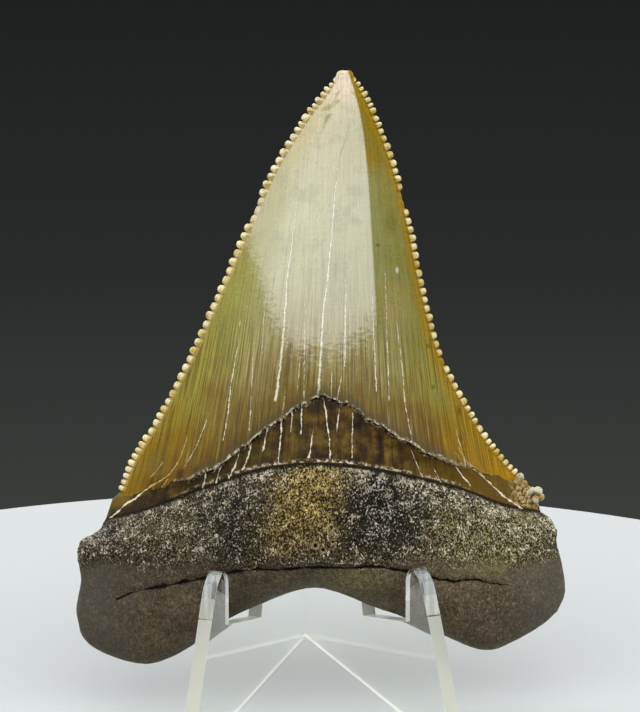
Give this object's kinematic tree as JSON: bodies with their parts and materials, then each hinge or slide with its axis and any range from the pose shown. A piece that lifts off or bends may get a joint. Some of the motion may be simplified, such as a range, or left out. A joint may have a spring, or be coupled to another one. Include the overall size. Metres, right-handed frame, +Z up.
{
  "type": "fossil shark tooth on a stand",
  "caption": "Serrated triangular fossil shark tooth with a dark two-lobed root, leaning back in a small clear acrylic display stand.",
  "frame": {"origin": "on the table under the middle of the object's bounding box, at the underside of the stand", "axes": "+Z up; the tooth's broad convex face looks towards -Y, leaning back towards +Y; +X to the viewer's right"},
  "size_m": [0.0496, 0.04, 0.0617],
  "materials": {
    "fossil": "glossy olive and ivory enamel over a granular dark brown root",
    "clear_acrylic": "clear, polished faces with slightly frosted cut edges"
  },
  "bodies": {
    "root": {"tooth": "fossil", "stand": "clear_acrylic"}
  },
  "joints": []
}
